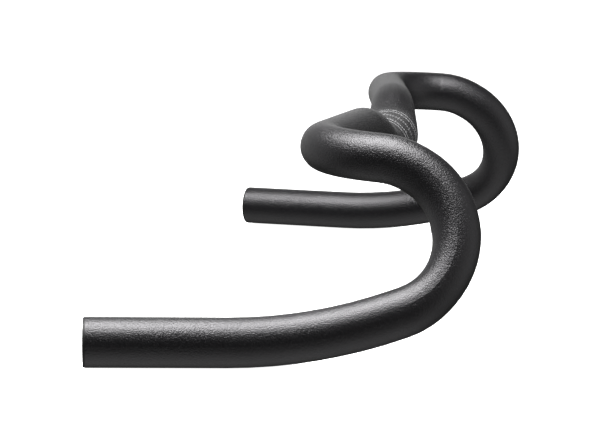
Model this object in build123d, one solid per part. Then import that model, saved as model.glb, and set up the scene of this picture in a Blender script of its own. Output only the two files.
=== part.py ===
from build123d import *
import math
import os

# Bare drop handlebar: one bulged, butted aluminium tube bent to shape, and an expander plug in
# each open end. Millimetres. +X is forward, +Y is the rider's left and +Z is up. The origin is
# the centre of the stem clamp zone, on the tube's axis. The bar is symmetric about the XZ plane.

# ---- driving dimensions: the tube ----
CLAMP_DIAMETER = 31.8
GRIP_DIAMETER = 23.8
CLAMP_WALL = 2.4
GRIP_WALL = 1.8
CLAMP_HALF_WIDTH = 31.0       # straight, full-diameter stretch each side of the centre
SHOULDER_STEPS = 12           # sections that carry the taper from clamp to grip diameter
SHOULDER_RUN_OUT = 16.0       # the taper ends this far past the rise, along the flat top

# Corners of the half bar's centre line (forward, outward, up), and the bend radius at each.
RISE_START = Vector(0, 47, 0)
RISE_END = Vector(-2.4, 81.2, 15.2)
TOP_CORNER = Vector(-17.6, 200.1, 15.2)
RAMP_START = Vector(25.9, 207.4, 12.2)
HOOK_FRONT = Vector(105.2, 217.2, -31.8)
DROP_CORNER = Vector(-9.3, 248, -70)
DROP_END = Vector(-115.5, 267.6, -68.5)
RISE_START_RADIUS = 48.0
RISE_END_RADIUS = 62.0
TOP_CORNER_RADIUS = 35.0
RAMP_RADIUS = 40.0
HOOK_RADIUS = 39.0
DROP_RADIUS = 243.0

# The tight bend leaves the hook's tube slightly oval, most of all where it turns into the drop.
HOOK_FLATTENING = 0.07        # share of the radius lost in the plane of the bend
HOOK_WIDENING = 0.02          # share of the radius gained square to that plane
HOOK_STEPS = 24               # sections that carry the oval through the bend
HOOK_SPARE = 0.3              # straight run left at each end of the hook's loft

# ---- driving dimensions: the expander plug, along its own axis, 0 at the tube's cut rim ----
CAP_THICKNESS = 1.2
CAP_DOME = 0.4
CAP_RIM_INSET = 0.1           # the cap's rim is this much smaller in radius than the tube
CAP_EDGE = 0.6                # rounding of the cap's outer edge
CAP_SEAT_GAP = 0.02           # the cap's head rests on the cut rim
BORE_CLEARANCE = 0.3          # spigot and sleeve inside the tube's bore
SPIGOT_DEPTH = 8.4
COUNTERBORE_RADIUS = 4.0
WASHER_TOP = -4.8
WASHER_THICKNESS = 0.8
WASHER_RADIUS = 3.8
SCREW_RADIUS = 2.0
SCREW_HEAD_RADIUS = 3.5
SCREW_HEAD_HEIGHT = 4.0
SCREW_TIP = -32.0
SCREW_CHAMFER = 0.4             # the head's top edge and the shank's tip
SOCKET_ACROSS_FLATS = 3.0
SOCKET_DEPTH = 2.2
SCREW_HOLE_CLEARANCE = 0.25
THREAD_CLEARANCE = 0.05
SLEEVE_LENGTH = 18.0
SLEEVE_BORE_RADIUS = 4.6
SLOT_COUNT = 4
SLOT_WIDTH = 1.4
SLOT_LENGTH = 13.0
SLEEVE_LEAD_IN = 1.0          # the sleeve's mouth starts this far above the cone nut's top
NUT_TOP = -19.0
NUT_LENGTH = 9.6
NUT_SMALL_RADIUS = 5.2
NUT_LARGE_RADIUS = 7.8
NUT_KEY_WIDTH = 1.0
NUT_KEY_RADIUS = 9.2
NUT_KEY_SHORTFALL = 2.0       # the keys stop this far below the cone nut's top
CONE_CLEARANCE = 0.12

# ---- worked out from the dimensions above ----
CLAMP_RADIUS = CLAMP_DIAMETER / 2
GRIP_RADIUS = GRIP_DIAMETER / 2
GRIP_BORE_RADIUS = GRIP_RADIUS - GRIP_WALL
PLUG_RADIUS = GRIP_BORE_RADIUS - BORE_CLEARANCE
SHOULDER_START = Vector(0, CLAMP_HALF_WIDTH, 0)
SHOULDER_END = RISE_END + (TOP_CORNER - RISE_END).normalized() * SHOULDER_RUN_OUT
OUTWARD = (DROP_END - DROP_CORNER).normalized()
CUT_RIM = DROP_END - OUTWARD * CAP_THICKNESS
RAMP_DIRECTION = (HOOK_FRONT - RAMP_START).normalized()
RETURN_DIRECTION = (DROP_CORNER - HOOK_FRONT).normalized()


def bend_reach(before, corner, after, radius):
    """How far from a corner its bend starts and ends."""
    turn = math.radians((corner - before).get_angle(after - corner))
    return radius * math.tan(turn / 2)


# The hook's loft takes in the short straight runs between its bend and the ones beside it.
RAMP_REACH = bend_reach(TOP_CORNER, RAMP_START, HOOK_FRONT, RAMP_RADIUS)
DROP_REACH = bend_reach(HOOK_FRONT, DROP_CORNER, DROP_END, DROP_RADIUS)
HOOK_BEGIN = RAMP_START + RAMP_DIRECTION * (RAMP_REACH + HOOK_SPARE)
HOOK_FINISH = DROP_CORNER - RETURN_DIRECTION * (DROP_REACH + HOOK_SPARE)


def shoulder_path():
    """Centre line of the shoulder: out of the clamp zone, up, and onto the flat top."""
    radii = [RISE_START_RADIUS, RISE_END_RADIUS]
    return FilletPolyline(SHOULDER_START, RISE_START, RISE_END, SHOULDER_END, radius=radii)


def top_path():
    """Centre line of the flat top and the ramp's start, round the top corner."""
    corners = [SHOULDER_END, TOP_CORNER, RAMP_START, HOOK_BEGIN]
    return FilletPolyline(*corners, radius=[TOP_CORNER_RADIUS, RAMP_RADIUS])


def hook_path():
    """Centre line of the hook's tight bend."""
    return FilletPolyline(HOOK_BEGIN, HOOK_FRONT, HOOK_FINISH, radius=HOOK_RADIUS)


def drop_path():
    """Centre line of the drop, from the end of the hook to the cut rim."""
    return FilletPolyline(HOOK_FINISH, DROP_CORNER, CUT_RIM, radius=DROP_RADIUS)


def section(path, distance, radius):
    """A circle square to the path, at a distance along it."""
    tangent = path.tangent_at(distance, position_mode=PositionMode.LENGTH)
    centre = path.position_at(distance, position_mode=PositionMode.LENGTH)
    return Plane(origin=centre, x_dir=tangent.cross(Vector(0, 0, 1)), z_dir=tangent) * Circle(radius)


def shoulder(clamp_radius, grip_radius):
    """The tapered stretch, as a loft whose radius eases from one diameter to the other."""
    path = shoulder_path()
    sections = []
    for step in range(SHOULDER_STEPS + 1):
        share = step / SHOULDER_STEPS
        eased = share * share * (3 - 2 * share)
        radius = clamp_radius + (grip_radius - clamp_radius) * eased
        sections.append(section(path, path.length * share, radius))
    return loft(sections)


def hook(grip_radius):
    """The tight bend, as a loft of sections that go from round to oval and back."""
    path = hook_path()
    across = RAMP_DIRECTION.cross(RETURN_DIRECTION).normalized()
    sections = []
    for step in range(HOOK_STEPS + 1):
        share = step / HOOK_STEPS
        oval = math.sin(math.pi * share ** 2) ** 2
        wide = grip_radius * (1 + HOOK_WIDENING * oval)
        flat = grip_radius * (1 - HOOK_FLATTENING * oval)
        plane = Plane(origin=path @ share, x_dir=across, z_dir=path % share)
        sections.append(plane * Ellipse(wide, flat))
    return loft(sections)


def bent_bar(clamp_radius, grip_radius):
    """The whole bar as a solid rod, from one cut rim to the other."""
    top = sweep(section(top_path(), 0, grip_radius), path=top_path())
    drop = sweep(section(drop_path(), 0, grip_radius), path=drop_path())
    half = shoulder(clamp_radius, grip_radius) + top + hook(grip_radius) + drop
    middle = Plane.XZ * Cylinder(clamp_radius, 2 * CLAMP_HALF_WIDTH)
    return half + middle + mirror(half, about=Plane.XZ)


def bar_tube():
    """The hollow bar: outer shape less the bore, thicker-walled at the clamp."""
    outer = bent_bar(CLAMP_RADIUS, GRIP_RADIUS)
    return outer - bent_bar(CLAMP_RADIUS - CLAMP_WALL, GRIP_BORE_RADIUS)


def post(radius, low, high):
    """A plain cylinder on the plug's axis, between two heights."""
    return Pos(0, 0, low) * Cylinder(radius, high - low, align=(Align.CENTER, Align.CENTER, Align.MIN))


def turned(points):
    """A solid turned about the plug's axis from (radius, height) points."""
    return revolve(Plane.XZ * make_face(Polyline(*points, close=True)), axis=Axis.Z)


def end_cap():
    """Domed head that covers the cut rim, on a spigot with a counterbore for the screw."""
    rim = GRIP_RADIUS - CAP_RIM_INSET
    apex = CAP_THICKNESS + CAP_DOME
    dome_radius = (rim ** 2 + CAP_DOME ** 2) / (2 * CAP_DOME)
    head = post(rim, CAP_SEAT_GAP, apex) & Pos(0, 0, apex - dome_radius) * Sphere(dome_radius)
    circles = head.edges().filter_by(GeomType.CIRCLE)
    rim_circles = circles.filter_by(lambda edge: edge.radius < dome_radius / 2)
    head = fillet(rim_circles.sort_by(Axis.Z)[-1], CAP_EDGE)
    blank = head + post(PLUG_RADIUS, -SPIGOT_DEPTH, CAP_SEAT_GAP)
    blank -= post(COUNTERBORE_RADIUS, WASHER_TOP - WASHER_THICKNESS, apex)
    return blank - post(SCREW_RADIUS + SCREW_HOLE_CLEARANCE, -SPIGOT_DEPTH, WASHER_TOP)


def screw_washer():
    """Flat washer under the screw's head, at the bottom of the counterbore."""
    disc = post(WASHER_RADIUS, WASHER_TOP - WASHER_THICKNESS, WASHER_TOP)
    hole = post(SCREW_RADIUS + SCREW_HOLE_CLEARANCE, WASHER_TOP - WASHER_THICKNESS, WASHER_TOP)
    return disc - hole


def expander_screw():
    """Socket-head screw that draws the cone nut into the sleeve."""
    head_top = WASHER_TOP + SCREW_HEAD_HEIGHT
    head = post(SCREW_HEAD_RADIUS, WASHER_TOP, head_top)
    head = chamfer(head.edges().group_by(Axis.Z)[-1], SCREW_CHAMFER)
    hexagon = RegularPolygon(SOCKET_ACROSS_FLATS / 2, 6, major_radius=False)
    socket = Pos(0, 0, head_top - SOCKET_DEPTH) * extrude(hexagon, SOCKET_DEPTH)
    shank = post(SCREW_RADIUS, SCREW_TIP, WASHER_TOP)
    shank = chamfer(shank.edges().group_by(Axis.Z)[0], SCREW_CHAMFER)
    return head + shank - socket


def expander_sleeve():
    """Split sleeve: its slotted end opens on the nut's cone and grips the tube's bore."""
    top = -SPIGOT_DEPTH
    bottom = top - SLEEVE_LENGTH
    slope = (NUT_LARGE_RADIUS - NUT_SMALL_RADIUS) / NUT_LENGTH
    mouth_start = NUT_TOP + SLEEVE_LEAD_IN
    mouth_small = NUT_SMALL_RADIUS - slope * SLEEVE_LEAD_IN + CONE_CLEARANCE
    mouth_large = mouth_small + slope * (mouth_start - bottom)
    blank = turned([(SLEEVE_BORE_RADIUS, top), (PLUG_RADIUS, top), (PLUG_RADIUS, bottom),
                    (mouth_large, bottom), (mouth_small, mouth_start), (SLEEVE_BORE_RADIUS, mouth_start)])
    slot = Box(2 * PLUG_RADIUS, SLOT_WIDTH, SLOT_LENGTH, align=(Align.MIN, Align.CENTER, Align.MIN))
    for index in range(SLOT_COUNT):
        blank -= Rot(0, 0, index * 360 / SLOT_COUNT) * Pos(0, 0, bottom) * slot
    return blank


def cone_nut():
    """Cone nut with keys that ride in the sleeve's slots, so it travels without turning."""
    bottom = NUT_TOP - NUT_LENGTH
    cone = turned([(0, NUT_TOP), (NUT_SMALL_RADIUS, NUT_TOP), (NUT_LARGE_RADIUS, bottom), (0, bottom)])
    key_length = NUT_LENGTH - NUT_KEY_SHORTFALL
    key = Box(NUT_KEY_RADIUS, NUT_KEY_WIDTH, key_length, align=(Align.MIN, Align.CENTER, Align.MIN))
    for index in range(SLOT_COUNT):
        cone += Rot(0, 0, index * 360 / SLOT_COUNT) * Pos(0, 0, bottom) * key
    return cone - post(SCREW_RADIUS + THREAD_CLEARANCE, bottom, NUT_TOP)


def end_location(side):
    """Where a plug sits: its origin on the cut rim, its +Z out of the bar's end."""
    rim = Vector(CUT_RIM.X, side * CUT_RIM.Y, CUT_RIM.Z)
    outward = Vector(OUTWARD.X, side * OUTWARD.Y, OUTWARD.Z)
    return Plane(origin=rim, x_dir=outward.cross(Vector(0, 0, 1)), z_dir=outward).location


PLUG_PIECES = {
    "end_cap": end_cap(),
    "screw_washer": screw_washer(),
    "expander_screw": expander_screw(),
    "expander_sleeve": expander_sleeve(),
    "cone_nut": cone_nut(),
}
SIDES = {"left": 1, "right": -1}

os.makedirs("parts", exist_ok=True)
export_step(bar_tube(), "parts/bar_tube.step")
for side_name, side in SIDES.items():
    for piece_name, piece in PLUG_PIECES.items():
        export_step(end_location(side) * piece, f"parts/{side_name}_{piece_name}.step")
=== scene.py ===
import math

import bmesh
import bpy
from mathutils import Matrix, Vector


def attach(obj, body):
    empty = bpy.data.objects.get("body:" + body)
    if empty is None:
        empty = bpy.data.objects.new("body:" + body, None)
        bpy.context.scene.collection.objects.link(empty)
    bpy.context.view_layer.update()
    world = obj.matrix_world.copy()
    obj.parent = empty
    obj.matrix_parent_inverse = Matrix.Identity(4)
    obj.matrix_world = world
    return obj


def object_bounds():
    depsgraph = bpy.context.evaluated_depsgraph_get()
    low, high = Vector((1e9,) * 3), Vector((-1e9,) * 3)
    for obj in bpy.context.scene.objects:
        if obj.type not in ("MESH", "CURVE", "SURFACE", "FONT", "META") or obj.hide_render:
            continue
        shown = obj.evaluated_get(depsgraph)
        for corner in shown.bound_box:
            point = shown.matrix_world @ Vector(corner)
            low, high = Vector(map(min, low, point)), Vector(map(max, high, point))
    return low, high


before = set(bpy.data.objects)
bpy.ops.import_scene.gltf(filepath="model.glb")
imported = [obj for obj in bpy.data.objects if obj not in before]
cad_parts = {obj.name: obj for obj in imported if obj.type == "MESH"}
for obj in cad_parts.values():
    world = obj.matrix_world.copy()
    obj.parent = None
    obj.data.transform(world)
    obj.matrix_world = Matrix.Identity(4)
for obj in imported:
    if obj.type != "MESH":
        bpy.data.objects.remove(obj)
cad_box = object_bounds()

# ---- the stem clamp zone's marks, in metres ----
CLAMP_RADIUS = 0.0159
MARK_RAISE = 0.00003              # how far a mark stands above the coat
MARK_SINK = 0.0001                # how far its foot reaches under the surface
RING_STEPS = 180                  # facets round a full ring
RING_PLACES = (-0.0300, -0.0210, 0.0210, 0.0300)
RING_WIDTH = 0.0009
LINE_SHADES = ((0.10, 0.10, 0.102), (0.62, 0.62, 0.63))    # where worn, and where whole
TICK_COUNT = 60
TICK_ANGLE = math.radians(1.4)    # width of a tick, round the bar
TICK_LONG_EVERY = 5
TICK_SHORT = 0.0024
TICK_LONG = 0.0056
TICK_STARTS = (-0.0203, -0.0007, 0.0007, 0.0203)
TICK_WAYS = (1, -1, 1, -1)        # each row's ticks run from its start towards +Y or -Y
TICK_SHADES = ((0.04, 0.04, 0.041), (0.30, 0.30, 0.305))

# ---- the photograph's view ----
VIEW_AZIMUTH = math.radians(7.081)
VIEW_ELEVATION = math.radians(7.223)
VIEW_DEPTH = 1.45192              # from the camera to the clamp's centre, along the view
VIEW_RIGHT = 0.046814             # where the clamp's centre lies in the view
VIEW_UP = 0.042868
SENSOR_WIDTH = 36.0
LENS = 156.66
VIEW_END = 50                     # the camera sees nothing past this

# ---- studio ----
FLOOR_GAP = 0.0005                # the floor lies just under the drops
FLOOR_HALF_SIZE = 6.0
FLOOR_WHITE = (0.985, 1.0)        # how bright the floor is, from its dullest to its brightest
CORNER_SIGNS = ((-1, -1), (1, -1), (1, 1), (-1, 1))
SOFT_BOX_PLACE = (-0.20, -0.27, 1.0)
SOFT_BOX_TURN = math.radians(20)
SOFT_BOX_WIDTH = 1.0
SOFT_BOX_DEPTH = 0.9
SOFT_BOX_RADIANCE = 18.0
# Each glow of the room: direction, cosines where it starts and is full, brightness at both.
ROOM_GLOWS = (
    ((0, -0.26, -0.966), 0.5, 0.95, 0.035, 0.82),    # the white table below
    ((-0.1, 1, 0.12), 0.75, 0.98, 0.0, 0.12),        # the far wall
    ((-0.5, 1, 0.40), 0.80, 0.98, 0.0, 0.24),        # the far wall, up and to the rear
    ((-0.12, 1, 0.16), 0.93, 0.995, 0.0, 0.62),      # a bright patch on the far wall
    ((1, -0.1, 0.25), 0.55, 0.95, 0.0, 0.56),        # a panel in front of the bar
    ((-1, 0.2, 0.1), 0.55, 0.95, 0.0, 0.52),         # a panel behind the drops
    ((0.92, 0, -0.4), 0.60, 0.97, 0.0, 0.20),        # the table's front edge
)


def link(name, mesh):
    piece = bpy.data.objects.new(name, mesh)
    bpy.context.scene.collection.objects.link(piece)
    return piece


# ---- camera ----
def make_camera():
    sin_a, cos_a = math.sin(VIEW_AZIMUTH), math.cos(VIEW_AZIMUTH)
    sin_e, cos_e = math.sin(VIEW_ELEVATION), math.cos(VIEW_ELEVATION)
    back = Vector((sin_a * cos_e, -cos_a * cos_e, sin_e))
    right = Vector((cos_a, sin_a, 0))
    up = back.cross(right)
    data = bpy.data.cameras.new("camera")
    data.sensor_width = SENSOR_WIDTH
    data.lens = LENS
    data.clip_end = VIEW_END
    camera = link("camera", data)
    camera.location = back * VIEW_DEPTH - right * VIEW_RIGHT - up * VIEW_UP
    camera.rotation_mode = "QUATERNION"
    camera.rotation_quaternion = Matrix((right, up, back)).transposed().to_quaternion()
    bpy.context.scene.camera = camera


# ---- shader helpers ----
class Shader:
    """A material's node tree, with short calls for adding and joining nodes."""

    def __init__(self, name):
        self.material = bpy.data.materials.new(name)
        self.material.use_nodes = True
        self.tree = self.material.node_tree
        self.surface = self.tree.nodes["Principled BSDF"]
        coordinates = self.add("ShaderNodeTexCoord")
        self.place = coordinates.outputs["Object"]

    def add(self, kind, **settings):
        node = self.tree.nodes.new(kind)
        for key, value in settings.items():
            if key in node.inputs:
                node.inputs[key].default_value = value
            else:
                setattr(node, key, value)
        return node

    def join(self, output, socket):
        self.tree.links.new(output, socket)

    def noise(self, scale, detail=2.0, roughness=0.5):
        node = self.add("ShaderNodeTexNoise", Scale=scale, Detail=detail, Roughness=roughness)
        self.join(self.place, node.inputs["Vector"])
        return node.outputs["Fac"]

    def ramp(self, value, low, high, start, end):
        """Maps value from low..high to start..end."""
        node = self.add("ShaderNodeMapRange")
        for name, number in (("From Min", low), ("From Max", high), ("To Min", start), ("To Max", end)):
            node.inputs[name].default_value = number
        self.join(value, node.inputs["Value"])
        return node.outputs["Result"]

    def mix(self, share, first, second):
        node = self.add("ShaderNodeMix", data_type="RGBA")
        node.inputs["A"].default_value = (*first, 1)
        node.inputs["B"].default_value = (*second, 1)
        self.join(share, node.inputs["Factor"])
        return node.outputs["Result"]

    def bump(self, height, distance, strength=1.0, under=None):
        node = self.add("ShaderNodeBump", Distance=distance, Strength=strength)
        self.join(height, node.inputs["Height"])
        if under is not None:
            self.join(under, node.inputs["Normal"])
        return node.outputs["Normal"]

    def set(self, **sockets):
        for name, value in sockets.items():
            socket = self.surface.inputs[name.replace("_", " ")]
            if isinstance(value, bpy.types.NodeSocket):
                self.join(value, socket)
            else:
                socket.default_value = value
        return self.material


def bar_finish():
    """Matte black bead-blasted coat: fine grain that sparkles along the edge of a highlight."""
    s = Shader("bar_finish")
    grain = s.noise(1500, detail=1.5, roughness=0.6)
    dust = s.noise(5200, detail=1)
    patch = s.noise(45, detail=3)
    pits = s.bump(dust, distance=0.00002, strength=0.5)
    return s.set(
        Base_Color=s.mix(patch, (0.0028, 0.0027, 0.0031), (0.0046, 0.0044, 0.0051)),
        Roughness=s.ramp(grain, 0.3, 0.7, 0.30, 0.42),
        Specular_IOR_Level=0.5,
        Specular_Tint=(0.99, 0.97, 1.0, 1.0),
        Normal=s.bump(grain, distance=0.00026, strength=1.0, under=pits),
    )


def etched_mark(name, dark, light):
    """Fine laser-etched line: the coat bleached to grey, broken up a little."""
    s = Shader(name)
    wear = s.noise(5200, detail=2)
    return s.set(
        Base_Color=s.mix(wear, dark, light),
        Roughness=s.ramp(wear, 0.3, 0.7, 0.42, 0.55),
        Normal=s.bump(wear, distance=0.00002, strength=0.4),
    )


def cap_nylon():
    """Moulded black nylon: a fine spark-eroded texture with a few soft scuffs."""
    s = Shader("cap_nylon")
    texture = s.noise(3400, detail=2)
    scuff = s.noise(160, detail=4, roughness=0.7)
    return s.set(
        Base_Color=s.mix(scuff, (0.004, 0.004, 0.0042), (0.008, 0.008, 0.0084)),
        Roughness=s.ramp(scuff, 0.35, 0.7, 0.46, 0.6),
        Specular_IOR_Level=0.3,
        Normal=s.bump(texture, distance=0.00004, strength=0.5),
    )


def screw_steel():
    """Black-oxide steel, a little lighter where a key has rubbed it."""
    s = Shader("screw_steel")
    rubbed = s.noise(900, detail=4, roughness=0.65)
    return s.set(
        Base_Color=s.mix(rubbed, (0.045, 0.045, 0.048), (0.13, 0.125, 0.12)),
        Metallic=1.0,
        Roughness=s.ramp(rubbed, 0.3, 0.7, 0.30, 0.48),
        Normal=s.bump(s.noise(4000), distance=0.00002, strength=0.3),
    )


def washer_steel():
    """Zinc-plated steel with a faint spangle."""
    s = Shader("washer_steel")
    spangle = s.noise(1200, detail=3)
    return s.set(
        Base_Color=s.mix(spangle, (0.42, 0.43, 0.45), (0.62, 0.62, 0.61)),
        Metallic=1.0,
        Roughness=s.ramp(spangle, 0.3, 0.7, 0.26, 0.42),
        Normal=s.bump(spangle, distance=0.00002, strength=0.25),
    )


def sleeve_nylon():
    """Natural grey nylon of the expander sleeve, slightly mottled."""
    s = Shader("sleeve_nylon")
    mottle = s.noise(220, detail=3)
    return s.set(
        Base_Color=s.mix(mottle, (0.17, 0.17, 0.175), (0.24, 0.24, 0.245)),
        Roughness=s.ramp(mottle, 0.3, 0.7, 0.48, 0.60),
        Subsurface_Weight=0.05,
        Normal=s.bump(s.noise(3000), distance=0.00003, strength=0.4),
    )


def nut_brass():
    """Turned brass: fine tool rings and a patchy tarnish."""
    s = Shader("nut_brass")
    tarnish = s.noise(380, detail=4, roughness=0.6)
    return s.set(
        Base_Color=s.mix(tarnish, (0.50, 0.35, 0.15), (0.74, 0.55, 0.27)),
        Metallic=1.0,
        Roughness=s.ramp(tarnish, 0.3, 0.7, 0.28, 0.44),
        Normal=s.bump(s.noise(2600), distance=0.00003, strength=0.3),
    )


# ---- marks on the stem clamp zone ----
def raised_patch(mesh, low, high, start, end, steps):
    """A thin curved block on the clamp zone, between two places along it and two angles round it."""
    closed = end - start > 2 * math.pi - 1e-6
    radii = (CLAMP_RADIUS - MARK_SINK, CLAMP_RADIUS + MARK_RAISE)
    rows = []
    for step in range(steps if closed else steps + 1):
        angle = start + (end - start) * step / steps
        corners = ((radii[0], low), (radii[1], low), (radii[1], high), (radii[0], high))
        rows.append([mesh.verts.new((r * math.cos(angle), y, r * math.sin(angle))) for r, y in corners])
    for step in range(steps):
        here, there = rows[step], rows[(step + 1) % len(rows)]
        for side in range(4):
            mesh.faces.new((here[side], here[side - 1], there[side - 1], there[side]))
    if not closed:
        mesh.faces.new(rows[0])
        mesh.faces.new(reversed(rows[-1]))


def raised_ring(mesh, place):
    raised_patch(mesh, place - RING_WIDTH / 2, place + RING_WIDTH / 2, 0, 2 * math.pi, RING_STEPS)


def finish_marks(name, mesh, material):
    bmesh.ops.recalc_face_normals(mesh, faces=mesh.faces)
    data = bpy.data.meshes.new(name)
    mesh.to_mesh(data)
    mesh.free()
    data.materials.append(material)
    piece = link(name, data)
    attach(piece, "bar")


def make_marks():
    """Pairs of bright rings at the borders, and between them ticks and one faint ring."""
    bright = etched_mark("etched_line", *LINE_SHADES)
    faint = etched_mark("etched_tick", *TICK_SHADES)
    rings = bmesh.new()
    for place in RING_PLACES:
        raised_ring(rings, place)
    finish_marks("clamp_rings", rings, bright)
    ticks = bmesh.new()
    raised_ring(ticks, 0)
    for index in range(TICK_COUNT):
        centre = 2 * math.pi * index / TICK_COUNT
        length = TICK_SHORT if index % TICK_LONG_EVERY else TICK_LONG
        for start, way in zip(TICK_STARTS, TICK_WAYS):
            low, high = sorted((start, start + way * length))
            raised_patch(ticks, low, high, centre - TICK_ANGLE / 2, centre + TICK_ANGLE / 2, 1)
    finish_marks("clamp_ticks", ticks, faint)


# ---- stage ----
def make_stage():
    """A white floor that only the camera sees: what the bar reflects comes from the room's glows."""
    z = cad_box[0].z - FLOOR_GAP
    mesh = bpy.data.meshes.new("floor")
    corners = [(sx * FLOOR_HALF_SIZE, sy * FLOOR_HALF_SIZE, z) for sx, sy in CORNER_SIGNS]
    mesh.from_pydata(corners, [], [(0, 1, 2, 3)])
    floor = link("floor", mesh)
    floor.visible_glossy = False
    floor.visible_diffuse = False
    floor.visible_shadow = False
    s = Shader("floor_paper")
    s.set(
        Base_Color=(0.8, 0.8, 0.8, 1),
        Roughness=0.9,
        Specular_IOR_Level=0.0,
        Emission_Color=s.mix(s.noise(900), *((white, white, white) for white in FLOOR_WHITE)),
        Emission_Strength=1.0,
    )
    floor.data.materials.append(s.material)


def make_soft_box():
    """A rectangular light facing straight down, as bright all over as its radiance says."""
    data = bpy.data.lights.new("overhead_softbox", "AREA")
    data.shape = "RECTANGLE"
    data.size = SOFT_BOX_WIDTH
    data.size_y = SOFT_BOX_DEPTH
    data.energy = SOFT_BOX_RADIANCE * math.pi * SOFT_BOX_WIDTH * SOFT_BOX_DEPTH
    lamp = link("overhead_softbox", data)
    lamp.location = SOFT_BOX_PLACE
    lamp.rotation_euler = (0, 0, SOFT_BOX_TURN)
    lamp.visible_camera = False


def glow(tree, place, direction, low, high, start, end):
    """Brightness that rises from start to end as a ray nears a direction."""
    dot = tree.nodes.new("ShaderNodeVectorMath")
    dot.operation = "DOT_PRODUCT"
    dot.inputs[1].default_value = Vector(direction).normalized()
    tree.links.new(place, dot.inputs[0])
    ramp = tree.nodes.new("ShaderNodeMapRange")
    ramp.interpolation_type = "SMOOTHSTEP"
    for name, number in (("From Min", low), ("From Max", high), ("To Min", start), ("To Max", end)):
        ramp.inputs[name].default_value = number
    tree.links.new(dot.outputs["Value"], ramp.inputs["Value"])
    return ramp.outputs["Result"]


def combine(tree, operation, first, second):
    node = tree.nodes.new("ShaderNodeMath")
    node.operation = operation
    tree.links.new(first, node.inputs[0])
    tree.links.new(second, node.inputs[1])
    return node.outputs["Value"]


def make_light():
    """The overhead soft box, and a room that is white to the camera but has the glows in reflections."""
    make_soft_box()
    world = bpy.data.worlds.new("studio")
    world.use_nodes = True
    bpy.context.scene.world = world
    tree = world.node_tree
    place = tree.nodes.new("ShaderNodeTexCoord").outputs["Generated"]
    parts = [glow(tree, place, *settings) for settings in ROOM_GLOWS]
    total = parts[0]
    for part in parts[1:]:
        total = combine(tree, "ADD", total, part)
    camera_ray = tree.nodes.new("ShaderNodeLightPath").outputs["Is Camera Ray"]
    background = tree.nodes["Background"]
    tree.links.new(combine(tree, "MAXIMUM", total, camera_ray), background.inputs["Strength"])
    background.inputs["Color"].default_value = (1, 1, 1, 1)
    bpy.context.scene.view_settings.view_transform = "Standard"


make_camera()
make_stage()
make_light()
finishes = {
    "bar_tube": bar_finish(),
    "end_cap": cap_nylon(),
    "expander_screw": screw_steel(),
    "screw_washer": washer_steel(),
    "expander_sleeve": sleeve_nylon(),
    "cone_nut": nut_brass(),
}
for name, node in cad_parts.items():
    kind = name.removeprefix("left_").removeprefix("right_")
    node.data.materials.clear()
    node.data.materials.append(finishes[kind])
make_marks()
